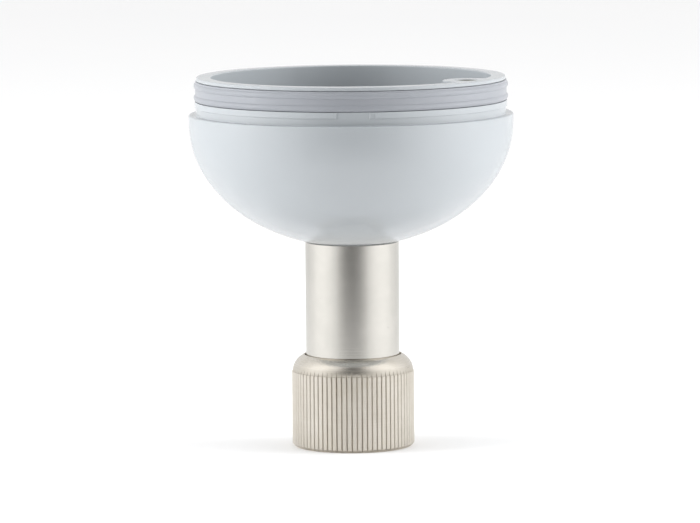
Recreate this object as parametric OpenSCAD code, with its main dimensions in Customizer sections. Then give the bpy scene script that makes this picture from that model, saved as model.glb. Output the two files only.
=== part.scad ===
// Instrument-head base: an open bowl housing on a turned barrel, with a captive union nut.
// The base stands on the nut's lower face. The Z axis is the axis of every turned piece.

/* [Bowl housing] */
// Outside diameter of the bowl
bowl_d = 90; // [88:1:94]
// Height of the bowl's curved underside, from its pole to the full diameter
bowl_depth = 34.6; // [34:0.2:36]
// Wall thickness of the bowl
wall_t = 3; // [2.6:0.2:3.2]
// Inside diameter of the neck and rim
rim_inner_d = 77.6; // [76:0.2:78]
// Outside diameter of the plain neck above the shoulder
neck_d = 85.9; // [85.4:0.1:86.2]
// How far the centring lip stands out from the neck
lip_proud = 0.3; // [0.2:0.05:0.4]
// Width of the gap in the centring lip
lip_gap_w = 10.7; // [8:0.1:14]
// Direction of the gap in the centring lip, in degrees from +X
lip_gap_angle = -88.3; // [-100:0.1:-80]

/* [Seal ring] */
// Outside diameter of the seal ring between its ribs
seal_d = 86.2; // [86:0.1:86.4]
// Height of the seal ring
seal_h = 5.4; // [5.2:0.1:5.8]
// How far the two ribs stand out
rib_proud = 0.4; // [0.2:0.05:0.5]

/* [Screw pillar] */
// Distance of the pillar from the axis
pillar_reach = 36.9; // [36:0.1:37.2]
// Direction of the pillar, in degrees from +X
pillar_angle = -31; // [-60:1:0]
// Diameter of the pillar
pillar_d = 13.2; // [12:0.1:13.6]
// Diameter of the hole for the threaded insert
insert_d = 6.6; // [6.2:0.1:7]

/* [Barrel] */
// Outside diameter of the barrel
barrel_d = 26; // [25.6:0.1:26.2]
// Length of the barrel that shows between the nut and the bowl, at rest
barrel_show = 31.7; // [30.9:0.1:36]
// Bore of the barrel around the connector
socket_d = 20; // [19.6:0.1:20]
// Bore of the barrel and its spigot above the connector
wire_bore_d = 14; // [13.6:0.1:14.4]
// Major diameter of the threaded spigot that goes through the bowl, M20 x 1.5
spigot_d = 20; // [19.8:0.1:20]

/* [Union nut] */
// Outside diameter over the knurl
nut_d = 34; // [33.4:0.1:35]
// Height of the nut
nut_h = 25.7; // [25.3:0.1:27]
// Number of knurl grooves
knurl_n = 75; // [60:1:80]
// Depth of the knurl grooves
knurl_depth = 0.45; // [0.3:0.05:0.5]
// Minor diameter of the nut's internal thread, M30 x 1
nut_thread_minor_d = 28.92; // [28.92:0.01:29]

/* [Connector] */
// Number of contact pins
pin_n = 5; // [3:1:6]
// Diameter of a contact pin
pin_d = 1.6; // [1.2:0.1:1.8]

/* [Fits] */
// Radial running clearance of the sliding and turning pieces
running_gap = 0.05; // [0.03:0.01:0.08]

/* [Hidden] */
$fn = 96;
past = 1; // how far a cutting shape runs past the face that it cuts

// Colours
pale_plastic = [0.86, 0.88, 0.90];
seal_grey = [0.62, 0.63, 0.68];
nickel = [0.80, 0.78, 0.74];
brass = [0.78, 0.62, 0.32];
steel = [0.72, 0.73, 0.74];
black_rubber = [0.08, 0.08, 0.09];
black_plastic = [0.12, 0.12, 0.13];
bush_plastic = [0.16, 0.16, 0.17];
gold = [0.90, 0.74, 0.36];

// Bowl housing, from the seat on the barrel up to the rim
bowl_r = bowl_d / 2;
barrel_r = barrel_d / 2;
seat_z = nut_h + barrel_show;
seat_angle = acos(barrel_r / bowl_r);
mid_z = seat_z + bowl_depth * sin(seat_angle); // height at which the bowl has its full width
shoulder_z = mid_z + 2.3;
shoulder_round = 0.45;
neck_r = neck_d / 2;
lip_r = neck_r + lip_proud;
lip_z = shoulder_z + 2;
lip_step_w = 1.5; // width of the shallow step at one end of the lip's gap
groove_z = lip_z + 1.7; // lower wall of the seal groove
seal_gap = 0.12; // free height on each side of the seal
groove_top_z = groove_z + seal_h + 2 * seal_gap;
groove_r = neck_r - 1.55;
rim_z = groove_top_z + 1;
rim_lip_r = neck_r - 0.15;
rim_inner_r = rim_inner_d / 2;
rim_chamfer = 0.35;
inner_r = bowl_r - wall_t;
inner_depth = bowl_depth - wall_t;
floor_z = seat_z + 3.8; // flat pad inside, on which the clamp washer bears

// Screw pillar and its M4 insert
insert_sink = 0.8;
insert_lead = 0.5; // chamfer at the mouth of the insert's hole
insert_h = 7.2;
insert_minor_r = 1.65;
insert_mouth = 0.5;
relief_hole_r = 2.2;
relief_hole_h = 6;

// Barrel, its end flange and its spigot
flange_gap = 0.36; // radial gap between the flange and the nut's thread
flange_r = nut_thread_minor_d / 2 - flange_gap;
flange_z = 14.6;
flange_h = 1.8;
bush_z = flange_z + flange_h; // the guide bush rests on the flange
socket_r = socket_d / 2;
socket_top_z = flange_z + 15.4;
wire_bore_r = wire_bore_d / 2;
spigot_r = spigot_d / 2;
spigot_gap = 0.15;
thread_gap = 0.03; // radial gap between the spigot's and the lock nut's threads
spigot_top_z = floor_z + 11.6;
barrel_chamfer = 0.3;
key_w = 2;
key_reach = 1; // how far the key stands into the bowl, and into the spigot

// Hardware on the spigot
washer_r = 15;
washer_h = 1.2;
spring_r = 14;
spring_h = 1.2;
spring_slit = 1.5;
lock_nut_af = 30;
lock_nut_h = 6.5;
lock_nut_chamfer = 1;
grommet_bore_r = wire_bore_r - 1.4;
grommet_flange_r = wire_bore_r + 1.6;
grommet_flange_h = 1.5;
grommet_deep = 4;

// Round-cord rings: cord radius, and radius of the cord's centre circle
stem_cord_r = 0.6;
stem_seal_r = 11.55;
face_cord_r = 0.7;
face_seal_r = 12.2;
face_proud = 0.3; // how far the face seal stands out of its groove
wiper_cord_r = 0.7;
wiper_seal_r = barrel_r + running_gap + wiper_cord_r;

// Connector and its retaining ring
clip_z = flange_z + 6.8;
clip_h = 1;
clip_sink = 0.6;
clip_slit = 4;
plug_z = clip_z + clip_h; // lower face of the connector's flange
plug_r = socket_r - running_gap;
sleeve_r = socket_r - 1.2;
sleeve_t = 1.2;
sleeve_z = flange_z + 0.6;
pocket_top_z = plug_z + 1;
plug_cord_r = 0.65;
plug_groove_r = plug_r - 2 * plug_cord_r;
plug_groove_z = plug_z + 3;
plug_groove_h = 1.6;
plug_collar_r = wire_bore_r - 1;
plug_collar_h = 3;
pin_r = pin_d / 2;
pin_circle_r = 4.6;
pin_tip_z = sleeve_z + 2.2;
cup_r = pin_r + 0.25;
cup_h = 3;
cup_deep = 2.2;
plug_key_w = 1.6;
plug_key_t = 1;

// Guide bush, snapped into the nut
bush_in_r = barrel_r + running_gap;
bush_r = barrel_r + 0.65;
bush_flange_r = nut_thread_minor_d / 2 - 0.06;
bush_flange_h = 0.8;
bush_bead_r = bush_r + 0.3;
bush_bead_h = 0.7;
bush_h = 5;
bush_slit = 1.5;

// Union nut, from its lower face up
nut_r = nut_d / 2;
thread_r = nut_thread_minor_d / 2;
thread_mouth = 0.7;
thread_top_z = flange_z - 1;
thread_relief_r = thread_r + 0.6;
web_z = bush_z + bush_flange_h + running_gap; // web between the bush's flange and its bead
web_top_z = bush_z + bush_h - bush_bead_h - running_gap;
bead_top_z = bush_z + bush_h + 0.2;
bore_gap = 0.35; // radial gap of the nut's bore where nothing guides it
wiper_groove_z = bead_top_z + 0.6;
wiper_groove_h = 2 * wiper_cord_r + 0.2;
foot_chamfer = 0.9;
nut_shoulder_h = 4.5;
nut_shoulder_w = 6.5;
knurl_lead = 0.25; // chamfer at the knurl's upper end, where the shoulder starts
nut_mouth_r = barrel_r + 0.5;
nut_mouth_h = 0.5;
groove_half_angle = 0.72; // half the width of a knurl groove at the knurl's crest

// Points of an oval arc about [0, z], from one angle to another
function oval_arc(a, b, z, from, to, steps = 36) = [
    for (i = [0:steps])
        let (t = from + (to - from) * i / steps)
        [a * cos(t), z + b * sin(t)]
];

module tube(z, h, outer_r, bore_r) {
    translate([0, 0, z]) difference() {
        cylinder(h = h, r = outer_r);
        translate([0, 0, -past]) cylinder(h = h + 2 * past, r = bore_r);
    }
}

module cord_ring(centre_r, cord_r, z) {
    translate([0, 0, z]) rotate_extrude() translate([centre_r, 0]) circle(r = cord_r, $fn = 32);
}

// Radial slot from the axis outwards along +Y
module slit(width, z, h) {
    translate([-width / 2, 0, z - past]) cube([width, bowl_r, h + 2 * past]);
}

// Outside of the bowl, neck and rim, filled to the axis
module bowl_outline() {
    round_r = bowl_r - shoulder_round;
    round_z = shoulder_z - shoulder_round;
    polygon(concat(
        [[0, seat_z]],
        oval_arc(bowl_r, bowl_depth, mid_z, -seat_angle, 0),
        [for (t = [0:15:90]) [round_r + shoulder_round * cos(t), round_z + shoulder_round * sin(t)]],
        [
            [neck_r, shoulder_z], [neck_r, lip_z], [lip_r, lip_z], [lip_r, groove_z],
            [groove_r, groove_z], [groove_r, groove_top_z], [rim_lip_r, groove_top_z],
            [rim_lip_r, rim_z - rim_chamfer], [rim_lip_r - rim_chamfer, rim_z], [0, rim_z]
        ]
    ));
}

// Hollow of the bowl: flat pad, oval wall, straight neck
module cavity_outline() {
    pad_angle = -asin((mid_z - floor_z) / inner_depth);
    neck_angle = -acos(rim_inner_r / inner_r);
    polygon(concat(
        [[0, floor_z]],
        oval_arc(inner_r, inner_depth, mid_z, pad_angle, neck_angle),
        [
            [rim_inner_r, rim_z - rim_chamfer], [rim_inner_r + rim_chamfer, rim_z],
            [rim_inner_r + rim_chamfer, rim_z + past], [0, rim_z + past]
        ]
    ));
}

module at_pillar() {
    rotate([0, 0, pillar_angle]) translate([pillar_reach, 0, 0]) children();
}

// Stepped hole for the insert, chamfered at its mouth, with a relief hole below
module insert_hole_outline() {
    hole_r = insert_d / 2;
    step_z = rim_z - insert_sink - insert_h;
    polygon([
        [0, step_z - relief_hole_h], [relief_hole_r, step_z - relief_hole_h],
        [relief_hole_r, step_z], [hole_r, step_z], [hole_r, rim_z - insert_lead],
        [hole_r + insert_lead + past, rim_z + past], [0, rim_z + past]
    ]);
}

// Gap in the centring lip, with a shallow step at one end
module lip_gap() {
    gap_h = groove_z - lip_z + past;
    rotate([0, 0, lip_gap_angle]) {
        intersection() {
            tube(lip_z, gap_h, lip_r + past, neck_r);
            translate([0, -lip_gap_w / 2, lip_z]) cube([bowl_r, lip_gap_w - lip_step_w, gap_h]);
        }
        intersection() {
            tube(lip_z, gap_h, lip_r + past, neck_r + lip_proud / 2);
            translate([0, -lip_gap_w / 2, lip_z]) cube([bowl_r, lip_gap_w, gap_h]);
        }
    }
}

module bowl_shell() {
    color(pale_plastic) difference() {
        rotate_extrude() bowl_outline();
        difference() {
            rotate_extrude() cavity_outline();
            at_pillar() cylinder(h = rim_z, d = pillar_d);
        }
        translate([0, 0, seat_z - past]) cylinder(h = floor_z, r = spigot_r + spigot_gap);
        translate([0, -key_w / 2, seat_z - past])
            cube([spigot_r + key_reach, key_w, floor_z - seat_z + 2 * past]);
        at_pillar() rotate_extrude() insert_hole_outline();
        lip_gap();
    }
}

module rim_seal() {
    seal_r = seal_d / 2;
    rib_r = 1;
    color(seal_grey) rotate_extrude() {
        translate([groove_r, groove_z + seal_gap]) square([seal_r - groove_r, seal_h]);
        for (h = [0.17, 0.77])
            translate([seal_r + rib_proud - rib_r, groove_z + seal_gap + h * seal_h])
                circle(r = rib_r, $fn = 48);
    }
}

module lug_insert() {
    color(brass) at_pillar() translate([0, 0, rim_z - insert_sink - insert_h])
        rotate_extrude() polygon([
            [insert_minor_r, 0], [insert_d / 2, 0], [insert_d / 2, insert_h],
            [insert_minor_r + insert_mouth, insert_h], [insert_minor_r, insert_h - insert_mouth]
        ]);
}

module stem() {
    color(nickel) difference() {
        rotate_extrude() polygon([
            [socket_r, flange_z], [flange_r, flange_z], [flange_r, bush_z], [barrel_r, bush_z],
            [barrel_r, seat_z - barrel_chamfer], [barrel_r - barrel_chamfer, seat_z],
            [spigot_r, seat_z], [spigot_r, spigot_top_z - 1], [spigot_r - 1, spigot_top_z],
            [wire_bore_r, spigot_top_z], [wire_bore_r, socket_top_z], [socket_r, socket_top_z],
            [socket_r, clip_z + clip_h], [socket_r + clip_sink, clip_z + clip_h],
            [socket_r + clip_sink, clip_z], [socket_r, clip_z]
        ]);
        tube(seat_z - 2 * stem_cord_r, 2 * stem_cord_r + past,
             stem_seal_r + stem_cord_r, stem_seal_r - stem_cord_r);
        tube(flange_z - past, 2 * face_cord_r - face_proud + past,
             face_seal_r + face_cord_r, face_seal_r - face_cord_r);
        translate([spigot_r - key_reach, -key_w / 2, seat_z])
            cube([2 * key_reach, key_w, floor_z - seat_z]);
    }
}

module stem_seal() {
    color(black_rubber) cord_ring(stem_seal_r, stem_cord_r, seat_z - stem_cord_r);
}

module anti_turn_key() {
    color(steel) translate([spigot_r - key_reach, -key_w / 2, seat_z])
        cube([2 * key_reach, key_w, floor_z - seat_z]);
}

module clamp_washer() {
    color(steel) tube(floor_z, washer_h, washer_r, spigot_r + spigot_gap);
}

module spring_washer() {
    color(steel) difference() {
        tube(floor_z + washer_h, spring_h, spring_r, spigot_r + spigot_gap);
        slit(spring_slit, floor_z + washer_h, spring_h);
    }
}

module lock_nut() {
    corner_r = lock_nut_af / 2 / cos(30);
    color(nickel) translate([0, 0, floor_z + washer_h + spring_h]) difference() {
        intersection() {
            cylinder(h = lock_nut_h, r = corner_r, $fn = 6);
            rotate_extrude() polygon([
                [0, 0], [corner_r - lock_nut_chamfer, 0], [corner_r, lock_nut_chamfer / 2],
                [corner_r, lock_nut_h - lock_nut_chamfer / 2],
                [corner_r - lock_nut_chamfer, lock_nut_h], [0, lock_nut_h]
            ]);
        }
        translate([0, 0, -past]) cylinder(h = lock_nut_h + 2 * past, r = spigot_r + thread_gap);
    }
}

module wire_grommet() {
    color(black_rubber) {
        tube(spigot_top_z - grommet_deep, grommet_deep, wire_bore_r, grommet_bore_r);
        tube(spigot_top_z, grommet_flange_h, grommet_flange_r, grommet_bore_r);
    }
}

module face_seal() {
    color(black_rubber) cord_ring(face_seal_r, face_cord_r, flange_z + face_cord_r - face_proud);
}

module connector_body() {
    pocket_r = sleeve_r - sleeve_t;
    color(black_plastic) difference() {
        union() {
            rotate_extrude() polygon([
                [0, pocket_top_z], [pocket_r, pocket_top_z], [pocket_r, sleeve_z],
                [sleeve_r, sleeve_z], [sleeve_r, plug_z], [plug_r, plug_z],
                [plug_r, plug_groove_z], [plug_groove_r, plug_groove_z],
                [plug_groove_r, plug_groove_z + plug_groove_h],
                [plug_r, plug_groove_z + plug_groove_h], [plug_r, socket_top_z],
                [plug_collar_r, socket_top_z], [plug_collar_r, socket_top_z + plug_collar_h],
                [0, socket_top_z + plug_collar_h]
            ]);
            translate([-plug_key_w / 2, pocket_r - plug_key_t, sleeve_z + plug_key_t])
                cube([plug_key_w, plug_key_t + sleeve_t / 2, pocket_top_z - sleeve_z]);
        }
        for (i = [0:pin_n - 1])
            rotate([0, 0, 360 * i / pin_n]) translate([pin_circle_r, 0, sleeve_z])
                cylinder(h = socket_top_z, r = pin_r);
    }
}

// One contact: a rounded tip below, a solder cup above
module contact_pin() {
    cup_z = socket_top_z + plug_collar_h;
    difference() {
        union() {
            translate([0, 0, pin_tip_z + pin_r]) sphere(r = pin_r, $fn = 32);
            translate([0, 0, pin_tip_z + pin_r]) cylinder(h = cup_z - pin_tip_z - pin_r, r = pin_r);
            translate([0, 0, cup_z]) cylinder(h = cup_h, r = cup_r);
        }
        translate([0, 0, cup_z + cup_h - cup_deep]) cylinder(h = cup_deep + past, r = cup_r - 0.35);
    }
}

module connector_pins() {
    color(gold) for (i = [0:pin_n - 1])
        rotate([0, 0, 360 * i / pin_n]) translate([pin_circle_r, 0, 0]) contact_pin();
}

module connector_seal() {
    color(black_rubber)
        cord_ring(plug_groove_r + plug_cord_r, plug_cord_r, plug_groove_z + plug_groove_h / 2);
}

module connector_clip() {
    color(steel) difference() {
        tube(clip_z, clip_h, socket_r + clip_sink, sleeve_r + 0.1);
        slit(clip_slit, clip_z, clip_h);
    }
}

module guide_bush() {
    color(bush_plastic) difference() {
        rotate_extrude() polygon([
            [bush_in_r, bush_z], [bush_flange_r, bush_z], [bush_flange_r, bush_z + bush_flange_h],
            [bush_r, bush_z + bush_flange_h], [bush_r, bush_z + bush_h - bush_bead_h],
            [bush_bead_r, bush_z + bush_h - bush_bead_h], [bush_bead_r, bush_z + bush_h - 0.3],
            [bush_bead_r - 0.3, bush_z + bush_h], [bush_in_r, bush_z + bush_h]
        ]);
        slit(bush_slit, bush_z, bush_h);
    }
}

// Section of the nut from its threaded mouth up to its rounded shoulder
module nut_section() {
    shoulder_foot_z = nut_h - nut_shoulder_h;
    shoulder_r = nut_r - knurl_lead;
    mouth_angle = acos((nut_mouth_r - shoulder_r + nut_shoulder_w) / nut_shoulder_w);
    arc_h = nut_shoulder_h / sin(mouth_angle);
    bore_r = barrel_r + bore_gap;
    bead_r = bush_bead_r + running_gap;
    groove_wall_r = wiper_seal_r + wiper_cord_r + running_gap;
    polygon(concat(
        [
            [thread_r + thread_mouth, 0], [nut_r - foot_chamfer, 0], [nut_r, foot_chamfer],
            [nut_r, shoulder_foot_z - knurl_lead]
        ],
        [
            for (p = oval_arc(nut_shoulder_w, arc_h, shoulder_foot_z, 0, mouth_angle, 8))
                [p[0] + shoulder_r - nut_shoulder_w, p[1]]
        ],
        [
            [bore_r, nut_h - nut_mouth_h],
            [bore_r, wiper_groove_z + wiper_groove_h],
            [groove_wall_r, wiper_groove_z + wiper_groove_h], [groove_wall_r, wiper_groove_z],
            [bore_r, wiper_groove_z], [bore_r, bead_top_z], [bead_r, bead_top_z],
            [bead_r, web_top_z], [bush_r + running_gap, web_top_z],
            [bush_r + running_gap, web_z], [thread_relief_r, web_z],
            [thread_relief_r, thread_top_z], [thread_r, thread_top_z - 0.4],
            [thread_r, thread_mouth]
        ]
    ));
}

// Star outline whose V notches leave the knurl grooves
module knurl_outline() {
    half_w = nut_r * sin(groove_half_angle);
    clear = 0.3; // the outline's crest stands clear of the nut's turned surface
    crest_r = nut_r + clear;
    crest_angle = asin(half_w * (knurl_depth + clear) / knurl_depth / crest_r);
    polygon([
        for (i = [0:knurl_n - 1], k = [-1:1])
            let (a = 360 * i / knurl_n + k * crest_angle, r = k == 0 ? nut_r - knurl_depth : crest_r)
            [r * cos(a), r * sin(a)]
    ]);
}

module union_nut() {
    color(nickel) intersection() {
        rotate_extrude() nut_section();
        translate([0, 0, -past]) linear_extrude(nut_h + 2 * past) knurl_outline();
    }
}

module wiper_ring() {
    color(black_rubber)
        cord_ring(wiper_seal_r, wiper_cord_r, wiper_groove_z + wiper_groove_h / 2);
}

bowl_shell();
rim_seal();
lug_insert();
stem();
stem_seal();
anti_turn_key();
clamp_washer();
spring_washer();
lock_nut();
wire_grommet();
face_seal();
connector_body();
connector_pins();
connector_seal();
connector_clip();
guide_bush();
union_nut();
wiper_ring();
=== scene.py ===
import math

import bmesh
import bpy
import numpy as np
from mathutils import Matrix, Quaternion, Vector


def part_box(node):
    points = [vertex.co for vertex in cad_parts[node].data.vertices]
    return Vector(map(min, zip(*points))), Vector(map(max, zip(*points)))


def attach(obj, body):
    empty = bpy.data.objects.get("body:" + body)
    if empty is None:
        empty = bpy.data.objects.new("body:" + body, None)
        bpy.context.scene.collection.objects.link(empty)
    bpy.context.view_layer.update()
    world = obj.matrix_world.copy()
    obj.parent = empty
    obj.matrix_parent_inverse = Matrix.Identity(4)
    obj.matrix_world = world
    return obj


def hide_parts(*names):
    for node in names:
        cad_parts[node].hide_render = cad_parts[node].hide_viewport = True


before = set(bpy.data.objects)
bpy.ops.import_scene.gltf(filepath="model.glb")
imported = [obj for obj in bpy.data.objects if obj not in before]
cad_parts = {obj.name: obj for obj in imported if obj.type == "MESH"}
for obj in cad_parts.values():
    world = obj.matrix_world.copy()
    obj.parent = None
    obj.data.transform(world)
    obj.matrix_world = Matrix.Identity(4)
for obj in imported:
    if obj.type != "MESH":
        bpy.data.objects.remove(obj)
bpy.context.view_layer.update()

# Lengths below are in millimetres, as in the CAD source; meshes are scaled to metres when they are made.
MM = 0.001
FULL_TURN = 2 * math.pi


def box_mm(node):
    """Lowest and highest corner of a CAD node, in millimetres."""
    low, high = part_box(node)
    return low / MM, high / MM


def put_in_scene(name, data):
    """A new object with that data, linked to the scene."""
    made = bpy.data.objects.new(name, data)
    bpy.context.scene.collection.objects.link(made)
    return made


# ---------------------------------------------------------------- camera

CAMERA_AT = Vector((0.0, -1.389, 0.2078))
CAMERA_AIM = Vector((-0.0006, 0.0, 0.0514))
CAMERA_LENS = 258.7
CAMERA_ROLL = math.radians(-0.45)


def make_camera():
    data = bpy.data.cameras.new("camera")
    data.sensor_width = 36
    data.lens = CAMERA_LENS
    data.clip_start = 0.05
    data.clip_end = 50
    camera = put_in_scene("camera", data)
    camera.rotation_mode = "QUATERNION"
    camera.location = CAMERA_AT
    aim = (CAMERA_AIM - CAMERA_AT).to_track_quat("-Z", "Y")
    camera.rotation_quaternion = aim @ Quaternion((0, 0, 1), CAMERA_ROLL)
    bpy.context.scene.camera = camera


make_camera()

# ---------------------------------------------------------------- measures from the CAD frame

bowl_low, bowl_high = box_mm("bowl_shell")
seal_low, seal_high = box_mm("rim_seal")
stem_low, stem_high = box_mm("stem")
nut_low, nut_high = box_mm("union_nut")
insert_low, insert_high = box_mm("lug_insert")
bush_low, bush_high = box_mm("guide_bush")
washer_low, washer_high = box_mm("clamp_washer")
spring_low, spring_high = box_mm("spring_washer")
lock_low, lock_high = box_mm("lock_nut")
grommet_low, grommet_high = box_mm("wire_grommet")
plug_low, plug_high = box_mm("connector_body")
pins_low, pins_high = box_mm("connector_pins")
clip_low, clip_high = box_mm("connector_clip")
key_low, key_high = box_mm("anti_turn_key")

BOWL_R = bowl_high.x
BOWL_DEPTH = 34.6
WALL = 3.0
SEAT_Z = bowl_low.z
RIM_Z = bowl_high.z
BARREL_R = 13.0
NECK_R = 42.95
LIP_R = 43.25
GROOVE_R = 41.4
RIM_LIP_R = 42.8
RIM_INNER_R = 38.8
SEAL_GAP = 0.12
GROOVE_Z = seal_low.z - SEAL_GAP
GROOVE_TOP_Z = seal_high.z + SEAL_GAP
LIP_Z = GROOVE_Z - 1.7
SHOULDER_Z = LIP_Z - 2.0
MID_Z = SHOULDER_Z - 2.3
FLOOR_Z = washer_low.z
SPIGOT_R = 10.0
SPIGOT_TOP = stem_high.z
WIRE_BORE_R = 7.0
PILLAR_AT = ((insert_low + insert_high) / 2).to_2d()
PILLAR_ANGLE = math.atan2(PILLAR_AT.y, PILLAR_AT.x)
PILLAR_R = 6.6
GAP_ANGLE = math.radians(-88.3)
GAP_WIDTH = 10.7
GAP_STEP = 1.5
KEY_HALF = 1.0
KEY_DEPTH = 1.0
RIM_EDGE = 0.42

# ---------------------------------------------------------------- mesh helpers


def softened(points, steps=3):
    """Closed outline of (r, z) points; a corner with a third number is rounded, cut back by that much."""
    outline = []
    for before, point, after in zip(points[-1:] + points[:-1], points, points[1:] + points[:1]):
        corner = np.array(point[:2], float)
        if len(point) < 3:
            outline.append(corner)
            continue
        ends = []
        for other in (before, after):
            way = np.array(other[:2], float) - corner
            reach = np.linalg.norm(way)
            ends.append(corner + way / reach * min(point[2], 0.45 * reach))
        for t in np.linspace(0, 1, steps + 1):
            outline.append((1 - t) ** 2 * ends[0] + 2 * t * (1 - t) * corner + t * t * ends[1])
    return np.array(outline)


def split_long(outline, longest, closed=True):
    """The same outline with its long edges cut into even pieces.

    longest is a length, or a function that gives it for an edge's two ends."""
    ends = np.roll(outline, -1, axis=0)
    made = []
    for start, end in zip(outline if closed else outline[:-1], ends):
        most = longest(start, end) if callable(longest) else longest
        count = max(1, math.ceil(np.linalg.norm(end - start) / most))
        made.extend(start + (end - start) * i / count for i in range(count))
    if not closed:
        made.append(outline[-1])
    return np.array(made)


def oval_arc(a, b, z, start, end, steps):
    """Points of an oval arc about (0, z), from one angle to another, in degrees."""
    turns = [math.radians(start + (end - start) * i / steps) for i in range(steps + 1)]
    return [(a * math.cos(t), z + b * math.sin(t)) for t in turns]


def full_turn(columns):
    """Even angles round the Z axis."""
    return np.arange(columns) * FULL_TURN / columns


def with_extra(columns, *extra):
    """Even angles round the Z axis and the extra ones, in order."""
    angles = np.concatenate([full_turn(columns), *extra])
    return np.unique(np.round(np.mod(angles, FULL_TURN), 6))


def turned(outline, angles, shape=None, closed=True, whole=True):
    """Vertices in mm and faces of an outline turned about Z. shape(r, z, angle) may change the radii.

    closed joins the outline's last point to its first; whole joins the last angle to the first, and
    otherwise the two ends are capped."""
    rows, columns = len(outline), len(angles)
    r = np.repeat(np.asarray(outline)[:, :1], columns, axis=1)
    z = np.repeat(np.asarray(outline)[:, 1:2], columns, axis=1)
    turn = np.repeat(np.asarray(angles)[None, :], rows, axis=0)
    if shape is not None:
        r = shape(r, z, turn)
    vertices = np.stack([r * np.cos(turn), r * np.sin(turn), z], axis=-1).reshape(-1, 3)
    i = np.arange(rows if closed else rows - 1)[:, None]
    j = np.arange(columns if whole else columns - 1)[None, :]
    i_next, j_next = (i + 1) % rows, (j + 1) % columns
    corners = (i * columns + j, i * columns + j_next, i_next * columns + j_next, i_next * columns + j)
    faces = np.stack(corners, axis=-1).reshape(-1, 4).tolist()
    if closed and not whole:
        faces.append([k * columns for k in range(rows)])
        faces.append([k * columns + columns - 1 for k in range(rows)])
    return vertices, faces


def make_mesh(name, vertices, faces):
    mesh = bpy.data.meshes.new(name)
    mesh.from_pydata((np.asarray(vertices) * MM).tolist(), [], faces)
    bm = bmesh.new()
    bm.from_mesh(mesh)
    bmesh.ops.remove_doubles(bm, verts=bm.verts, dist=1e-7)
    bmesh.ops.recalc_face_normals(bm, faces=bm.faces)
    if bm.calc_volume(signed=True) < 0:
        bmesh.ops.reverse_faces(bm, faces=bm.faces)
    bm.to_mesh(mesh)
    bm.free()
    return mesh


def add_piece(name, mesh, body, nodes, material, sharp_angle=38):
    """A finished piece: smooth shading, material, body and the CAD nodes that it stands for."""
    piece = put_in_scene(name, mesh)
    mesh.shade_smooth()
    mesh.set_sharp_from_angle(angle=math.radians(sharp_angle))
    mesh.materials.clear()
    mesh.materials.append(material)
    even = piece.modifiers.new("even_normals", "WEIGHTED_NORMAL")
    even.keep_sharp = True
    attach(piece, body)
    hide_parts(*nodes)
    return piece


def lathe(name, outline, columns, body, material, shape=None, closed=True, sharp_angle=38):
    """One turned piece that stands for the CAD node of the same subject."""
    vertices, faces = turned(outline, full_turn(columns), shape, closed)
    mesh = make_mesh(name, vertices, faces)
    return add_piece(name + "_part", mesh, body, [name], material, sharp_angle)


def split_ring(name, outline, columns, slit, slit_r, body, material):
    """A turned ring with a slit of that width towards +Y."""
    half = math.asin(slit / 2 / slit_r)
    angles = np.linspace(math.pi / 2 + half, math.pi / 2 + FULL_TURN - half, columns)
    vertices, faces = turned(outline, angles, whole=False)
    mesh = make_mesh(name, vertices, faces)
    return add_piece(name + "_part", mesh, body, [name], material)


def cord_outline(centre_r, centre_z, cord_r, steps=20):
    """Round section of an O-ring."""
    turns = full_turn(steps)
    return np.stack([centre_r + cord_r * np.cos(turns), centre_z + cord_r * np.sin(turns)], axis=-1)


def thread_wave(z, turn, pitch):
    """0 at a thread's crest and 1 at its root, along a right-hand helix, with flats at both."""
    phase = (z / pitch - turn / FULL_TURN) % 1.0
    return np.clip((0.5 - np.abs(phase - 0.5)) * 2.6 - 0.5, 0, 1)


def cut(mesh, cutter_mesh, operation):
    """The mesh after an exact boolean with the cutter."""
    target = put_in_scene("target", mesh)
    cutter = put_in_scene("cutter", cutter_mesh)
    boolean = target.modifiers.new("cut", "BOOLEAN")
    boolean.operation = operation
    boolean.solver = "EXACT"
    boolean.object = cutter
    graph = bpy.context.evaluated_depsgraph_get()
    result = bpy.data.meshes.new_from_object(target.evaluated_get(graph))
    for o in (target, cutter):
        bpy.data.objects.remove(o)
    return result


# ---------------------------------------------------------------- material helpers


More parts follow.
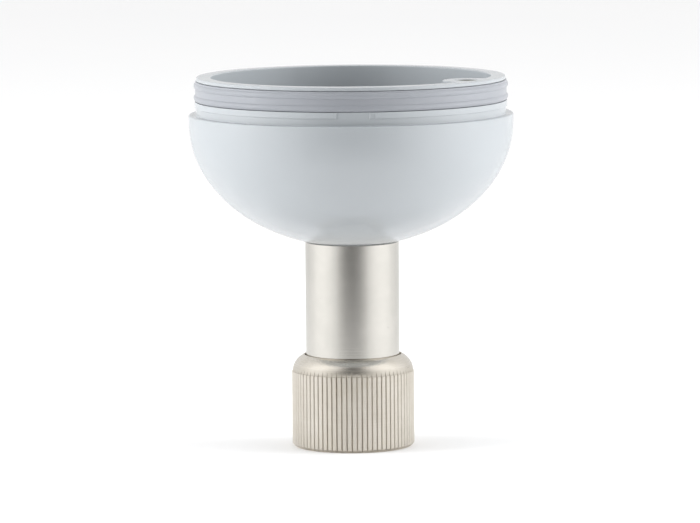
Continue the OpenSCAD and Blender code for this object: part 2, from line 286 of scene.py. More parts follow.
class Nodes:
    """Short calls for the nodes of one material or world."""

    def __init__(self, tree, coordinates):
        self.nodes, self.links = tree.nodes, tree.links
        self.place = self.nodes.new("ShaderNodeTexCoord").outputs[coordinates]

    def put(self, socket, value):
        """Sets a node's input, by a link where the value is another node's output."""
        if isinstance(value, bpy.types.NodeSocket):
            self.links.new(value, socket)
        else:
            socket.default_value = value

    def math(self, operation, a, b=0.0, c=0.0, clamp=False):
        node = self.nodes.new("ShaderNodeMath")
        node.operation = operation
        node.use_clamp = clamp
        for socket, value in zip(node.inputs, (a, b, c)):
            self.put(socket, value)
        return node.outputs[0]

    def parts(self):
        """The three coordinates, in metres on an object."""
        node = self.nodes.new("ShaderNodeSeparateXYZ")
        self.put(node.inputs[0], self.place)
        return node.outputs

    def radius(self):
        """Distance from the Z axis."""
        x, y, z = self.parts()
        return self.math("SQRT", self.math("ADD", self.math("MULTIPLY", x, x), self.math("MULTIPLY", y, y)))

    def stretched(self, x, y, z):
        """The coordinates, scaled apart along the axes."""
        node = self.nodes.new("ShaderNodeMapping")
        self.put(node.inputs["Vector"], self.place)
        node.inputs["Scale"].default_value = (x, y, z)
        return node.outputs[0]

    def noise(self, scale, detail=3.0, roughness=0.5, place=None):
        node = self.nodes.new("ShaderNodeTexNoise")
        self.put(node.inputs["Vector"], place or self.place)
        node.inputs["Scale"].default_value = scale
        node.inputs["Detail"].default_value = detail
        node.inputs["Roughness"].default_value = roughness
        return node.outputs["Fac"]

    def cells(self, scale, place=None):
        """Distance to the nearest of many scattered points."""
        node = self.nodes.new("ShaderNodeTexVoronoi")
        self.put(node.inputs["Vector"], place or self.place)
        node.inputs["Scale"].default_value = scale
        return node.outputs["Distance"]

    def span(self, value, low, high, to_low=0.0, to_high=1.0, ease="LINEAR"):
        """The value, mapped from one range to another and held inside it."""
        node = self.nodes.new("ShaderNodeMapRange")
        node.interpolation_type = ease
        for socket, number in zip(node.inputs, (value, low, high, to_low, to_high)):
            self.put(socket, number)
        return node.outputs[0]

    def between(self, share, a, b):
        """Number between a and b."""
        node = self.nodes.new("ShaderNodeMix")
        for socket, value in (("Factor", share), ("A", a), ("B", b)):
            self.put(node.inputs[socket], value)
        return node.outputs["Result"]

    def mix(self, share, a, b):
        """Colour between a and b."""
        node = self.nodes.new("ShaderNodeMix")
        node.data_type = "RGBA"
        self.put(node.inputs["Factor"], share)
        for socket, value in ((node.inputs[6], a), (node.inputs[7], b)):
            self.put(socket, (*value, 1.0) if isinstance(value, tuple) else value)
        return node.outputs[2]

    def bump(self, height, depth, onto=None):
        """A bump of that depth in metres."""
        node = self.nodes.new("ShaderNodeBump")
        node.inputs["Distance"].default_value = depth
        node.inputs["Strength"].default_value = 1.0
        self.put(node.inputs["Height"], height)
        if onto is not None:
            self.put(node.inputs["Normal"], onto)
        return node.outputs[0]


class Surface(Nodes):
    """A Principled material."""

    def __init__(self, name, **settings):
        self.material = bpy.data.materials.new(name)
        self.material.use_nodes = True
        super().__init__(self.material.node_tree, "Object")
        self.shader = self.nodes["Principled BSDF"]
        for socket, value in settings.items():
            self.shader.inputs[socket.replace("_", " ")].default_value = value

    def drive(self, socket, value):
        self.put(self.shader.inputs[socket], value)

    def turned_about_z(self):
        """Points the grain of an anisotropic metal round the Z axis."""
        node = self.nodes.new("ShaderNodeTangent")
        node.direction_type = "RADIAL"
        node.axis = "Z"
        self.drive("Tangent", node.outputs[0])


# ---------------------------------------------------------------- materials


def gloss_housing():
    """Glossy moulded plastic: faint flow mottling, a slight waviness, specks of dust and hairlines."""
    s = Surface("gloss_housing", IOR=1.72)
    mottle = s.noise(38, 4)
    base = s.mix(mottle, (0.368, 0.394, 0.415), (0.390, 0.415, 0.436))
    speck = s.span(s.cells(420), 0.0, 0.075, 1.0, 0.0)
    speck = s.math("MULTIPLY", speck, s.span(s.noise(60), 0.56, 0.62))
    s.drive("Base Color", s.mix(s.math("MULTIPLY", speck, 0.5), base, (0.30, 0.30, 0.30)))
    hairline = s.span(s.noise(1.0, 2, place=s.stretched(60, 60, 2600)), 0.66, 0.72)
    rough = s.span(s.noise(120, 5), 0.3, 0.7, 0.13, 0.20)
    s.drive("Roughness", s.math("ADD", rough, s.math("MULTIPLY", hairline, 0.03)))
    wavy = s.bump(s.noise(90, 2), 0.00003)
    s.drive("Normal", s.bump(s.noise(2400, 2), 0.0000012, wavy))
    return s.material


def soft_seal():
    """Grey silicone: satin and faintly cloudy."""
    s = Surface("soft_seal", IOR=1.62, Roughness=0.32)
    s.drive("Base Color", s.mix(s.noise(70, 4), (0.262, 0.277, 0.305), (0.302, 0.315, 0.343)))
    return s.material


def turned_metal(name, colour_a, colour_b, rough_low, rough_high, line_depth):
    """Plated metal with the fine lines of a lathe tool, a few nicks and a cloudy film."""
    s = Surface(name, Metallic=1.0, Anisotropic=0.45)
    s.turned_about_z()
    lines = s.noise(1.0, 3, 0.6, s.stretched(22, 22, 5200))
    film = s.noise(95, 5, 0.6)
    base = s.mix(s.span(film, 0.3, 0.7), colour_a, colour_b)
    nick = s.span(s.cells(1.0, s.stretched(150, 150, 620)), 0.0, 0.085, 1.0, 0.0)
    nick = s.math("MULTIPLY", nick, s.span(s.noise(170, 2), 0.53, 0.58))
    s.drive("Base Color", s.mix(s.math("MULTIPLY", nick, 0.55), base, (0.20, 0.18, 0.15)))
    rough = s.span(s.math("ADD", lines, s.math("MULTIPLY", film, 0.5)), 0.5, 1.0, rough_low, rough_high)
    s.drive("Roughness", s.math("ADD", rough, s.math("MULTIPLY", nick, 0.15)))
    s.drive("Normal", s.bump(nick, -0.00004, s.bump(lines, line_depth)))
    return s.material


def nut_metal():
    """The union nut: bright knurl crests, grooves painted darker as shade, a smoother shoulder."""
    s = Surface("nut_metal", Metallic=1.0, Anisotropic=0.3)
    s.turned_about_z()
    height = s.parts()[2]
    radius = s.radius()
    crest_r = nut_high.x * MM
    sunk = s.span(radius, crest_r - 0.00040, crest_r - 0.00006, 1.0, 0.0)
    below_shoulder = s.span(height, (nut_high.z - 4.6) * MM, (nut_high.z - 2.4) * MM, 1.0, 0.0)
    outside = s.span(radius, crest_r - 0.0006, crest_r - 0.00055)
    # groove picks out the bottoms of the knurl's grooves below the shoulder: painted shade in the recesses.
    groove = s.math("MULTIPLY", s.math("MULTIPLY", sunk, below_shoulder), outside)
    film = s.noise(130, 5, 0.6)
    base = s.mix(s.span(film, 0.3, 0.7), (0.66, 0.615, 0.54), (0.73, 0.69, 0.625))
    # Base colour darkened in the knurl's grooves: painted shade.
    s.drive("Base Color", s.mix(s.math("MULTIPLY", groove, 0.50), base, (0.34, 0.305, 0.25)))
    grain = s.noise(1.0, 3, 0.6, s.stretched(30, 30, 4200))
    rough = s.span(s.math("ADD", grain, s.math("MULTIPLY", film, 0.5)), 0.5, 1.0, 0.44, 0.56)
    polished = s.span(height, (nut_high.z - 4.4) * MM, (nut_high.z - 3.6) * MM, 0.0, -0.24)
    rough = s.math("ADD", rough, polished)
    s.drive("Roughness", s.math("ADD", rough, s.math("MULTIPLY", groove, 0.12)))
    dents = s.bump(s.noise(900, 3), 0.00002)
    s.drive("Normal", s.bump(grain, 0.000010, dents))
    return s.material


def dark_material(name, colour_a, colour_b, rough_low, rough_high, grain_scale, grain_depth):
    """Rubber or moulded plastic in a dark colour, with a fine grain and pale dust."""
    s = Surface(name, IOR=1.5)
    base = s.mix(s.noise(110, 4), colour_a, colour_b)
    dust = s.span(s.noise(1700, 2), 0.68, 0.76)
    s.drive("Base Color", s.mix(s.math("MULTIPLY", dust, 0.3), base, (0.18, 0.18, 0.18)))
    s.drive("Roughness", s.span(s.noise(420, 4), 0.3, 0.7, rough_low, rough_high))
    s.drive("Normal", s.bump(s.noise(grain_scale, 3), grain_depth))
    return s.material


HOUSING = gloss_housing()
SEAL = soft_seal()
NUT = nut_metal()
BARREL = turned_metal("barrel_metal", (0.60, 0.585, 0.545), (0.66, 0.64, 0.60), 0.17, 0.27, 0.000006)
BRASS = turned_metal("brass_metal", (0.62, 0.47, 0.20), (0.72, 0.57, 0.28), 0.25, 0.40, 0.000008)
HEX = turned_metal("hex_metal", (0.60, 0.58, 0.53), (0.70, 0.68, 0.63), 0.25, 0.40, 0.000012)
STEEL = turned_metal("steel_metal", (0.50, 0.51, 0.52), (0.60, 0.61, 0.62), 0.28, 0.44, 0.000014)
GOLD = turned_metal("gold_metal", (0.85, 0.60, 0.20), (0.92, 0.69, 0.28), 0.14, 0.26, 0.000004)
RUBBER = dark_material(
    "dull_rubber", (0.018, 0.018, 0.020), (0.032, 0.032, 0.034), 0.50, 0.68, 1500, 0.000014)
PLUG = dark_material(
    "plug_plastic", (0.022, 0.022, 0.025), (0.036, 0.036, 0.040), 0.36, 0.50, 2200, 0.000006)
BUSH = dark_material(
    "bush_plastic", (0.040, 0.040, 0.043), (0.060, 0.060, 0.064), 0.34, 0.48, 1900, 0.000007)

# ---------------------------------------------------------------- bowl housing


def bowl_columns():
    """Angles round the bowl, closer together at the pillar, the lip's gap and the key slot."""
    pillar = PILLAR_ANGLE + np.radians(np.linspace(-12, 12, 97))
    edge_at = GAP_ANGLE + np.array([-GAP_WIDTH / 2, GAP_WIDTH / 2 - GAP_STEP, GAP_WIDTH / 2]) / LIP_R
    edges = edge_at[:, None] + np.radians([-0.09, -0.03, 0.03, 0.09])[None, :]
    key = math.asin(KEY_HALF / SPIGOT_R)
    key_sides = [key, key + 0.0004, -key, -key - 0.0004]
    return with_extra(288, pillar, edges.ravel(), key_sides)


def lip_share(turn):
    """1 where the centring lip is whole, 0 in its gap, one half on the shallow step."""
    across = ((turn - GAP_ANGLE + math.pi) % FULL_TURN - math.pi) * LIP_R
    half = GAP_WIDTH / 2
    ramp = 0.10
    deep = np.clip((across + half) / ramp, 0, 1) * np.clip((half - GAP_STEP - across) / ramp, 0, 1)
    shallow = np.clip((across + half) / ramp, 0, 1) * np.clip((half - across) / ramp, 0, 1)
    return 1 - np.maximum(deep, 0.5 * shallow)


def pillar_front(turn):
    """Radius at which a ray from the axis meets the screw pillar, far away where it misses it."""
    reach = PILLAR_AT.length
    delta = (turn - PILLAR_ANGLE + math.pi) % FULL_TURN - math.pi
    inside = PILLAR_R**2 - (reach * np.sin(delta)) ** 2
    front = reach * np.cos(delta) - np.sqrt(np.maximum(inside, 0))
    return np.where((inside > 0) & (np.cos(delta) > 0), front, 999.0)


def bowl_outline():
    """Section of the shell, from the seat on the barrel up the outside and down the inside."""
    round_r = 0.45
    outside = oval_arc(BOWL_R, BOWL_DEPTH, MID_Z, -math.degrees(math.acos(BARREL_R / BOWL_R)), 0, 60)
    inner_r, inner_depth = BOWL_R - WALL, BOWL_DEPTH - WALL
    pad = -math.degrees(math.asin((MID_Z - FLOOR_Z) / inner_depth))
    neck = -math.degrees(math.acos(RIM_INNER_R / inner_r))
    inside = oval_arc(inner_r, inner_depth, MID_Z, neck, pad, 56)
    inner_neck_z = inside[0][1]
    points = [(SPIGOT_R + 0.15, SEAT_Z, 0.1), *outside]
    points += [
        (BOWL_R, SHOULDER_Z, round_r), (NECK_R, SHOULDER_Z, 0.2),
        (NECK_R, LIP_Z, 0.05), (LIP_R, LIP_Z, 0.10), (LIP_R, GROOVE_Z, 0.12),
        (GROOVE_R, GROOVE_Z, 0.1), (GROOVE_R, GROOVE_TOP_Z, 0.1),
        (RIM_LIP_R, GROOVE_TOP_Z, 0.10), (RIM_LIP_R, RIM_Z, RIM_EDGE), (RIM_INNER_R, RIM_Z, RIM_EDGE),
    ]
    points += [(RIM_INNER_R, inner_neck_z, 0.3)] + inside[1:-1]
    points += [(inside[-1][0], FLOOR_Z, 0.4), (SPIGOT_R + 0.15, FLOOR_Z, 0.15)]
    return split_long(softened(points, 4), 2.4)


def mid_wall(z):
    """Radius halfway through the shell's wall at a height."""
    middle_r, middle_depth = BOWL_R - WALL / 2, BOWL_DEPTH - WALL / 2
    rise = np.clip((z - MID_Z) / middle_depth, -1, 0)
    return np.where(z > SHOULDER_Z - 1, (RIM_INNER_R + GROOVE_R) / 2, middle_r * np.sqrt(1 - rise**2))


def bowl_shape(r, z, turn):
    """Cuts the lip's gap, pushes out the screw pillar and cuts the key slot."""
    in_lip = (r > NECK_R) & (z > LIP_Z - 0.01) & (z < GROOVE_Z + 0.01)
    r = np.where(in_lip, NECK_R + (r - NECK_R) * lip_share(turn), r)
    rounding = np.where(z > RIM_Z - RIM_EDGE, np.maximum(r - RIM_INNER_R, 0), 0)
    r = np.where(r < mid_wall(z), np.minimum(r, pillar_front(turn) + rounding), r)
    slot_r = SPIGOT_R + KEY_DEPTH
    slot = (r < slot_r) & (np.abs(np.sin(turn)) * slot_r <= KEY_HALF + 0.01) & (np.cos(turn) > 0)
    return np.where(slot, slot_r, r)


def insert_hole():
    """Cutter for the stepped hole of the threaded insert, its mouth rounded over."""
    hole_r, relief_r, relief = 3.3, 2.2, 6.0
    step_z = insert_low.z
    outline = [
        (0, step_z - relief), (relief_r, step_z - relief), (relief_r, step_z), (hole_r, step_z),
        (hole_r, RIM_Z - 0.30), (hole_r + 0.04, RIM_Z - 0.16), (hole_r + 0.13, RIM_Z - 0.06),
        (hole_r + 0.3, RIM_Z + 0.02), (hole_r + 0.5, RIM_Z + 0.06), (hole_r + 0.5, RIM_Z + 1),
        (0, RIM_Z + 1),
    ]
    vertices, faces = turned(np.array(outline, float), full_turn(96), closed=False)
    vertices[:, :2] += PILLAR_AT
    return make_mesh("insert_hole", vertices, faces)


def make_bowl():
    vertices, faces = turned(bowl_outline(), bowl_columns(), bowl_shape)
    shell = make_mesh("bowl_shell", vertices, faces)
    shell = cut(shell, insert_hole(), "DIFFERENCE")
    add_piece("bowl_shell_part", shell, "housing", ["bowl_shell"], HOUSING)


# ---------------------------------------------------------------- seal and insert


def make_seal():
    """Ring with two rounded ribs, its long edges rounded so that a dark line shows above and below it."""
    foot, top = seal_low.z, seal_high.z
    height = top - foot
    body_r, rib_r, rib_proud = 43.1, 1.0, 0.4
    rib_centre = body_r + rib_proud - rib_r
    half = math.degrees(math.acos((rib_r - rib_proud) / rib_r))
    points = [(GROOVE_R, foot, 0.15), (body_r, foot, 0.22)]
    for share in (0.17, 0.77):
        arc = oval_arc(rib_r, rib_r, foot + share * height, -half, half, 14)
        points += [(r + rib_centre, z) for r, z in arc if z > foot + 0.2]
    points += [(body_r, top, 0.30), (GROOVE_R, top, 0.15)]
    outline = split_long(softened(points, 4), 0.5)
    lathe("rim_seal", outline, 288, "housing", SEAL)


def make_insert():
    """Brass insert: one groove outside, an M4 thread inside."""
    foot, top = insert_low.z, insert_high.z
    outer, minor, depth, pitch = 3.3, 1.65, 0.35, 0.7
    outside = [
        (outer, foot, 0.15), (outer, foot + 2.2, 0.05), (outer - 0.3, foot + 2.4, 0.05),
        (outer - 0.3, foot + 3.0, 0.05), (outer, foot + 3.2, 0.05), (outer, top, 0.10),
        (minor + 0.5, top, 0.04),
    ]
    inside = [(minor, top - 0.5), (minor, foot + 0.3), (minor + 0.3, foot)]
    outline = split_long(softened(outside + inside), 0.07)

    def shape(r, z, turn):
        bore = (r < minor + 0.02) & (z < top - 0.49) & (z > foot + 0.29)
        return np.where(bore, minor + depth * thread_wave(z, turn, pitch), r)

    vertices, faces = turned(outline, full_turn(72), shape)
    vertices[:, :2] += PILLAR_AT
    mesh = make_mesh("lug_insert", vertices, faces)
    add_piece("lug_insert_part", mesh, "housing", ["lug_insert"], BRASS)


# ---------------------------------------------------------------- barrel and what is on its spigot


def make_stem():
    """Barrel with its end flange, seal grooves, threaded spigot and wire bore."""
    foot, flange_top = stem_low.z, bush_low.z
    seat, top = SEAT_Z, SPIGOT_TOP
    points = [
        (10.0, foot, 0.15), (11.5, foot, 0.05), (11.5, foot + 1.1, 0.1), (12.9, foot + 1.1, 0.1),
        (12.9, foot, 0.05), (14.1, foot, 0.2), (14.1, flange_top, 0.2), (BARREL_R, flange_top, 0.1),
        (BARREL_R, seat - 0.35, 0.12), (BARREL_R - 0.3, seat, 0.12), (12.15, seat, 0.05),
        (12.15, seat - 1.2, 0.1), (10.95, seat - 1.2, 0.1), (10.95, seat, 0.05),
        (SPIGOT_R - 0.9, seat, 0.2), (SPIGOT_R - 0.9, seat + 3.4, 0.1), (SPIGOT_R, seat + 4.0, 0.1),
        (SPIGOT_R, top - 1.0, 0.1), (SPIGOT_R - 1, top, 0.1), (WIRE_BORE_R, top, 0.15),
        (WIRE_BORE_R, foot + 15.4, 0.1), (10.0, foot + 15.4, 0.1), (10.0, foot + 7.8, 0.05),
        (10.6, foot + 7.8, 0.05), (10.6, foot + 6.8, 0.05), (10.0, foot + 6.8, 0.05),
    ]
    thread_foot, thread_top = seat + 4.1, top - 0.9

    def longest(start, end):
        threaded = abs(start[0] - SPIGOT_R) < 0.3 and abs(end[0] - SPIGOT_R) < 0.3 and start[1] > seat
        return 0.1 if threaded else 2.0

    def shape(r, z, turn):
        inside = (np.abs(r - SPIGOT_R) < 0.02) & (z > thread_foot) & (z < thread_top)
        fade = np.clip((z - thread_foot) / 0.8, 0, 1)
        return np.where(inside, r - 0.9 * thread_wave(z, turn, 1.5) * fade, r)

    outline = split_long(softened(points), longest)
    lathe("stem", outline, 224, "housing", BARREL, shape)


def make_round_cords():
    """The four O-rings: their middle radius, the radius of their cord and their body."""
    rings = [
        ("stem_seal", 11.55, 0.6, "housing"),
        ("face_seal", 12.2, 0.7, "housing"),
        ("connector_seal", 9.3, 0.65, "housing"),
        ("wiper_ring", 13.75, 0.7, "nut"),
    ]
    for name, centre_r, cord_r, body in rings:
        low, high = box_mm(name)
        outline = cord_outline(centre_r, (low.z + high.z) / 2, cord_r)
        lathe(name, outline, 168, body, RUBBER)


def make_key():
    """Small key with rounded edges."""
    bm = bmesh.new()
    bmesh.ops.create_cube(bm, size=1.0)
    size = key_high - key_low
    centre = (key_high + key_low) / 2
    for vertex in bm.verts:
        vertex.co = Vector(a * b + c for a, b, c in zip(vertex.co, size, centre)) * MM
    bmesh.ops.bevel(bm, geom=bm.edges[:], offset=0.15 * MM, segments=3, profile=0.5, affect="EDGES")
    mesh = bpy.data.meshes.new("anti_turn_key")
    bm.to_mesh(mesh)
    bm.free()
    add_piece("anti_turn_key_part", mesh, "housing", ["anti_turn_key"], STEEL)


def ring_outline(low, high, inner_r, outer_r, edge):
    """Rectangular section with rounded edges."""
    return softened([
        (inner_r, low, edge), (outer_r, low, edge), (outer_r, high, edge), (inner_r, high, edge)
    ])


def make_washers():
    inner_r = SPIGOT_R + 0.15
    plain = ring_outline(washer_low.z, washer_high.z, inner_r, 15.0, 0.2)
    lathe("clamp_washer", plain, 160, "housing", STEEL)
    sprung = ring_outline(spring_low.z, spring_high.z, inner_r, 14.0, 0.15)
    split_ring("spring_washer", sprung, 150, 1.5, 12.0, "housing", STEEL)


def make_lock_nut():
    """Thin hexagon nut, its corners turned off above and below."""
    foot, top = lock_low.z, lock_high.z
    flat_r = 15.0
    corner_r = flat_r / math.cos(math.pi / 6)
    inner_r = SPIGOT_R + 0.03
    chamfer, drop = 1.0, 0.5
    points = [
        (inner_r + 0.6, foot, 0.08), (corner_r - chamfer, foot), (corner_r, foot + drop),
        (corner_r, top - drop), (corner_r - chamfer, top), (inner_r + 0.6, top, 0.08),
        (inner_r, top - 0.6), (inner_r, foot + 0.6),
    ]
    outline = split_long(softened(points), 0.12)

    def shape(r, z, turn):
        to_flat = flat_r / np.cos(turn % (math.pi / 3) - math.pi / 6)
        return np.where(r > flat_r - 1.5, np.minimum(r, to_flat), r)

    lathe("lock_nut", outline, 216, "housing", HEX, shape, sharp_angle=24)


def make_grommet():
    """Soft grommet, its flange domed, with two sealing beads in the bore."""
    foot, top = grommet_low.z, grommet_high.z
    flange_foot = SPIGOT_TOP
    bore, outer, flange = 5.6, 7.0, 8.6
    points = [
        (bore, foot, 0.2), (outer, foot, 0.25), (outer, flange_foot, 0.1), (flange, flange_foot, 0.25),
        (flange, top - 0.1, 0.6), (bore + 0.9, top, 0.4), (bore, top - 0.5, 0.3),
        (bore, top - 1.6, 0.2), (bore + 0.25, top - 2.1, 0.2), (bore, top - 2.6, 0.2),
        (bore, foot + 1.6, 0.2), (bore + 0.25, foot + 1.1, 0.2), (bore, foot + 0.6, 0.2),
    ]
    lathe("wire_grommet", softened(points, 4), 144, "housing", RUBBER)


# ---------------------------------------------------------------- connector


def make_plug():
    """Insulating body of the connector, with a keyed skirt and a seal groove."""
    sleeve_foot, top = plug_low.z, plug_high.z
    socket_top = top - 3.0
    flange_foot = clip_high.z
    pocket_top = flange_foot + 1.0
    skirt_in, skirt_out, flange, groove, collar = 7.6, 8.8, 9.95, 8.65, 6.0
    groove_foot = flange_foot + 3.0
    points = [
        (0, pocket_top), (skirt_in, pocket_top, 0.2), (skirt_in, sleeve_foot, 0.25),
        (skirt_out, sleeve_foot, 0.25), (skirt_out, flange_foot, 0.1), (flange, flange_foot, 0.12),
        (flange, groove_foot, 0.06), (groove, groove_foot, 0.1), (groove, groove_foot + 1.6, 0.1),
        (flange, groove_foot + 1.6, 0.06), (flange, socket_top, 0.12), (collar, socket_top, 0.1),
        (collar, top, 0.25), (0, top),
    ]
    rib_angle, rib_foot = math.pi / 2, sleeve_foot + 0.9
    rib_sides = rib_angle + np.array([-0.112, -0.106, -0.1, 0.1, 0.106, 0.112])

    def shape(r, z, turn):
        side = np.abs((turn - rib_angle + math.pi) % FULL_TURN - math.pi)
        rib = np.clip((0.112 - side) / 0.012, 0, 1)
        wall = (r > skirt_in - 0.3) & (r < skirt_in + 0.02) & (z > rib_foot) & (z < pocket_top + 0.01)
        return np.where(wall, r - rib * np.clip((z - rib_foot) / 0.3, 0, 1), r)

    vertices, faces = turned(softened(points), with_extra(144, rib_sides), shape, closed=False)
    mesh = make_mesh("connector_body", vertices, faces)
    add_piece("connector_body_part", mesh, "housing", ["connector_body"], PLUG)


def make_pins():
    """Five contacts: rounded tips below, hollow solder cups above."""
    tip, top = pins_low.z, pins_high.z
    count, circle_r = 5, 4.6
    pin_r, cup_r, hole_r = 0.8, 1.05, 0.7
    cup_foot = top - 3.0
    round_tip = np.linspace(0.2, math.pi / 2, 8)
    section = [(0.0, tip)]
    section += [(pin_r * math.sin(t), tip + pin_r * (1 - math.cos(t))) for t in round_tip]
    section += [
        (pin_r, cup_foot - 0.2), (cup_r, cup_foot), (cup_r, top - 0.1), (cup_r - 0.1, top),
        (hole_r + 0.08, top), (hole_r, top - 0.1), (hole_r, top - 2.0), (hole_r - 0.3, top - 2.2),
        (0.0, top - 2.3),
    ]
    one, one_faces = turned(np.array(section, float), full_turn(32), closed=False)
    vertices, faces = [], []
    for i, turn in enumerate(full_turn(count)):
        vertices.append(one + (circle_r * math.cos(turn), circle_r * math.sin(turn), 0))
        faces += [[k + i * len(one) for k in face] for face in one_faces]
    mesh = make_mesh("connector_pins", np.concatenate(vertices), faces)
    add_piece("connector_pins_part", mesh, "housing", ["connector_pins"], GOLD)


def make_clip():
    """Split retaining ring under the connector's flange."""
    outline = ring_outline(clip_low.z, clip_high.z, 8.9, 10.6, 0.15)
    split_ring("connector_clip", outline, 140, 4.0, 9.7, "housing", STEEL)


# ---------------------------------------------------------------- bush and nut

KNURL_COUNT = 75
NUT_MOUTH_R = 13.5
NUT_THREAD_R = 14.46

def make_bush():
    """Split snap-in bush with a flange below and a bead above."""
    foot, top = bush_low.z, bush_high.z
    bore, flange, sleeve, bead = 13.05, 14.4, 13.65, 13.95
    points = [
        (bore, foot, 0.12), (flange, foot, 0.12), (flange, foot + 0.8, 0.12), (sleeve, foot + 0.8, 0.08),
        (sleeve, top - 0.7, 0.08), (bead, top - 0.7, 0.06), (bead, top - 0.3, 0.1),
        (bead - 0.3, top, 0.1), (bore, top, 0.12),
    ]
    split_ring("guide_bush", softened(points), 180, 1.5, 13.5, "collar", BUSH)


def knurl_columns(count):
    """Angles of the knurl: ten for each groove."""
    steps = np.radians([-1.55, -0.80, -0.69, -0.36, -0.06, 0.06, 0.36, 0.69, 0.80, 1.55])
    return (np.arange(count)[:, None] * FULL_TURN / count + steps[None, :]).ravel()


def knurl_depth(turn, count):
    """Depth of the knurl at an angle, a little different from groove to groove."""
    pitch = FULL_TURN / count
    index = np.round(turn / pitch)
    away = np.degrees(np.abs(turn - index * pitch))
    uneven = 0.03 * np.sin(index * 2.4) + 0.02 * np.sin(index * 5.7 + 1)
    return np.interp(away, [0.06, 0.69, 0.80], [0.45, 0.03, 0.0]) + np.where(away < 0.5, uneven - 0.04, 0)


def nut_outside():
    """Knurled outside of the union nut, from its foot up to its mouth, with the angles of its columns."""
    foot, top, crest = nut_low.z, nut_high.z, nut_high.x
    shoulder_w, shoulder_h, lead = 6.5, 4.5, 0.25
    shoulder_r, straight_top = crest - lead, top - shoulder_h - lead
    mouth_angle = math.acos((NUT_MOUTH_R - shoulder_r + shoulder_w) / shoulder_w)
    arc_h = shoulder_h / math.sin(mouth_angle)
    arc = oval_arc(shoulder_w, arc_h, top - shoulder_h, 0, math.degrees(mouth_angle), 40)
    outline = [(NUT_THREAD_R + 0.82, foot), (crest - 1.05, foot), (crest - 0.82, foot + 0.04)]
    outline += [(crest - 0.75 + 0.75 * t, foot + 0.10 + 0.8 * t) for t in np.linspace(0, 1, 7)]
    outline += [(crest, foot + 0.98)]
    outline += [(crest, foot + h) for h in np.linspace(1.6, straight_top - 0.05, 12)]
    outline += [(crest - 0.03, straight_top + 0.03)]
    outline += [(r + shoulder_r - shoulder_w, z) for r, z in arc]
    angles = knurl_columns(KNURL_COUNT)
    deep = knurl_depth(angles, KNURL_COUNT)

    def shape(r, z, turn):
        return np.minimum(r, crest - deep[None, :])

    return *turned(np.array(outline), angles, shape, closed=False), angles


def nut_inside():
    """Bore of the union nut, from its mouth down to the M30 x 1 thread, with the angles of its columns."""
    foot, top = nut_low.z, nut_high.z
    bore, groove, snap, sleeve, relief = 13.35, 14.5, 14.0, 13.7, 15.06
    relief_foot, thread_top, lead_in = foot + 13.6, foot + 13.2, 0.7
    points = [
        (NUT_MOUTH_R, top), (NUT_MOUTH_R - 0.04, top - 0.10), (bore, top - 0.5, 0.08),
        (bore, foot + 23.8, 0.05), (groove, foot + 23.8, 0.1), (groove, foot + 22.2, 0.1),
        (bore, foot + 22.2, 0.05), (bore, foot + 21.6, 0.05), (snap, foot + 21.6, 0.05),
        (snap, foot + 20.65, 0.05), (sleeve, foot + 20.65, 0.05), (sleeve, foot + 17.25, 0.05),
        (relief, foot + 17.25, 0.1), (relief, relief_foot, 0.1), (NUT_THREAD_R, thread_top),
        (NUT_THREAD_R, foot + lead_in), (NUT_THREAD_R + lead_in, foot),
    ]

    def longest(start, end):
        threaded = abs(start[0] - NUT_THREAD_R) < 0.01 and abs(end[0] - NUT_THREAD_R) < 0.01
        return 0.1 if threaded else math.inf

    def shape(r, z, turn):
        above_foot, below_top = z - foot - lead_in + 0.05, thread_top - z
        threaded = (np.abs(r - NUT_THREAD_R) < 0.01) & (above_foot > 0) & (below_top > -0.1)
        fade = np.clip(above_foot / 0.4, 0, 1) * np.clip(below_top / 0.4, 0, 1)
        return np.where(threaded, r + 0.54 * fade * thread_wave(z, turn, 1.0), r)

    outline = split_long(softened(points), longest, closed=False)
    angles = full_turn(3 * KNURL_COUNT)
    return *turned(outline, angles, shape, closed=False), angles


def make_nut():
    """Straight-knurled union nut: its outside and its bore, joined at the mouth and the foot."""
    outer, outer_faces, outer_angles = nut_outside()
    inner, inner_faces, inner_angles = nut_inside()
    outer_at = np.arange(len(outer)).reshape(-1, len(outer_angles))
    inner_at = len(outer) + np.arange(len(inner)).reshape(-1, len(inner_angles))
    faces = outer_faces + [[k + len(outer) for k in face] for face in inner_faces]
    faces += zipped(outer_at[-1], outer_angles, inner_at[0], inner_angles)
    faces += zipped(outer_at[0], outer_angles, inner_at[-1], inner_angles)
    mesh = make_mesh("union_nut", np.concatenate([outer, inner]), faces)
    add_piece("union_nut_part", mesh, "nut", ["union_nut"], NUT, 30)


def zipped(ring_a, angles_a, ring_b, angles_b):
    """Triangles between two rings with different numbers of points, matched by angle."""
    order_a = np.argsort(np.mod(angles_a, FULL_TURN))
    a, turn_a = ring_a[order_a].tolist(), np.mod(angles_a, FULL_TURN)[order_a]
    b, turn_b = ring_b.tolist(), angles_b
    faces = []
    i = j = 0
    while i < len(a) or j < len(b):
        next_a = turn_a[(i + 1) % len(a)] + (FULL_TURN if i + 1 >= len(a) else 0)
        next_b = turn_b[(j + 1) % len(b)] + (FULL_TURN if j + 1 >= len(b) else 0)
        here_a, here_b = a[i % len(a)], b[j % len(b)]
        if j >= len(b) or (i < len(a) and next_a <= next_b):
            faces.append([here_a, a[(i + 1) % len(a)], here_b])
            i += 1
        else:
            faces.append([here_a, b[(j + 1) % len(b)], here_b])
            j += 1
    return faces


make_bowl()
make_seal()
make_insert()
make_stem()
make_round_cords()
make_key()
make_washers()
make_lock_nut()
make_grommet()
make_plug()
make_pins()
make_clip()
make_bush()
make_nut()

# ---------------------------------------------------------------- floor, light and view

# Brightness of the surround by azimuth: share of the half turn from the front, and level.
SURROUND = [
    (0.00, 0.15), (0.08, 0.23), (0.15, 0.50), (0.23, 0.98), (0.32, 1.26), (0.42, 1.38), (0.52, 1.34),
    (0.64, 1.08), (0.75, 0.92), (1.00, 0.85),
]
SURROUND_MOST = 1.4
SURROUND_TOP = 1.1
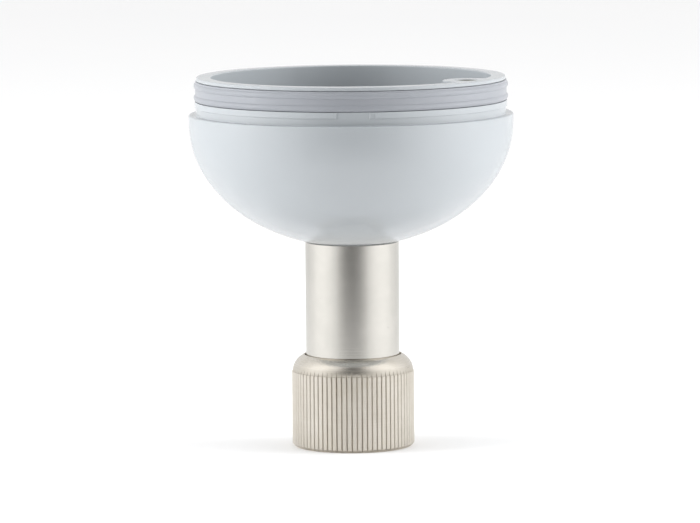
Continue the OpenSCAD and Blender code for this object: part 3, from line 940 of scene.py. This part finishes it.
# Range of the upward direction over which the surround turns into its top.
SURROUND_TOP_SPAN = (0.90, 0.99)
BACKDROP_LEVEL = 1.1
# The card's radii in metres, where it stops being like the floor and where it is all surround.
CARD_NEAR = 0.12
CARD_EDGE = 0.19
CARD_FAR = 0.42
CARD_NEAR_LEVEL = 1.2


def surround_level(s):
    """The surround's brightness at a point's azimuth from the front, the same to the left and right."""
    x, y, z = s.parts()
    azimuth = s.math("ARCTAN2", s.math("ABSOLUTE", x), s.math("MULTIPLY", y, -1))
    ramp = s.nodes.new("ShaderNodeValToRGB")
    ramp.color_ramp.interpolation = "EASE"
    stops = ramp.color_ramp.elements
    while len(stops) < len(SURROUND):
        stops.new(0.5)
    for stop, (share, level) in zip(stops, SURROUND):
        stop.position = share
        stop.color = (*[level / SURROUND_MOST] * 3, 1)
    s.put(ramp.inputs[0], s.math("DIVIDE", azimuth, math.pi))
    return s.math("MULTIPLY", ramp.outputs[0], SURROUND_MOST)


def floor_material():
    s = Surface("floor_paper", Roughness=0.9)
    s.drive("Base Color", s.mix(s.noise(3, 4), (0.93, 0.93, 0.935), (0.95, 0.95, 0.95)))
    return s.material


def make_floor():
    outline = np.array([(0, 0), (300, 0), (3500, 0), (6000, 0)], float)
    mesh = make_mesh("floor", *turned(outline, full_turn(96), closed=False))
    floor = put_in_scene("floor", mesh)
    mesh.materials.append(floor_material())


def make_reflection_card():
    """Card just above the floor, seen in reflections only: like the floor near the object, and further out
    as dark in front and bright at the sides as the surround."""
    lift = 0.4
    outline = np.array([(r, lift) for r in (60, 120, 400, 1200, 3400)], float)
    mesh = make_mesh("reflection_card", *turned(outline, full_turn(96), closed=False))
    card = put_in_scene("reflection_card", mesh)
    s = Surface("card", Roughness=1.0, Base_Color=(0, 0, 0, 1), Emission_Color=(1, 1, 1, 1))
    radius = s.radius()
    away = s.math("MULTIPLY", s.span(radius, CARD_NEAR, CARD_EDGE), 0.6)
    away = s.math("ADD", away, s.math("MULTIPLY", s.span(radius, CARD_EDGE, CARD_FAR), 0.4))
    s.drive("Emission Strength", s.between(away, CARD_NEAR_LEVEL, surround_level(s)))
    mesh.materials.append(s.material)
    card.visible_camera = False
    card.visible_diffuse = False
    card.visible_shadow = False
    card.visible_transmission = False


def make_world():
    """Soft surround: dark in front, brightest at the sides; plain white to the camera itself."""
    world = bpy.data.worlds.new("surround")
    bpy.context.scene.world = world
    world.use_nodes = True
    s = Nodes(world.node_tree, "Generated")
    upward = s.span(s.parts()[2], *SURROUND_TOP_SPAN, ease="SMOOTHSTEP")
    dome = s.between(upward, surround_level(s), SURROUND_TOP)
    to_camera = s.nodes.new("ShaderNodeLightPath").outputs["Is Camera Ray"]
    background = s.nodes["Background"].inputs
    background["Color"].default_value = (1, 1, 1, 1)
    s.put(background["Strength"], s.between(to_camera, dome, BACKDROP_LEVEL))


def area_light(name, place, aim, width, height, power):
    """A softbox that lights the scene but isn't seen in reflections."""
    data = bpy.data.lights.new(name, "AREA")
    data.shape = "RECTANGLE"
    data.size, data.size_y = width, height
    data.energy = power
    light = put_in_scene(name, data)
    light.location = place
    light.rotation_mode = "QUATERNION"
    light.rotation_quaternion = (Vector(aim) - Vector(place)).to_track_quat("-Z", "Y")
    light.visible_glossy = False


make_floor()
make_reflection_card()
make_world()
area_light("left_softbox", (-1.1, -0.12, 0.30), (0, 0, 0.06), 0.7, 0.6, 11)
area_light("right_softbox", (1.1, -0.05, 0.30), (0, 0, 0.06), 0.7, 0.6, 11)
area_light("top_softbox", (0, 0.2, 1.3), (0, 0, 0), 1.2, 1.2, 1)
bpy.context.scene.view_settings.view_transform = "Standard"
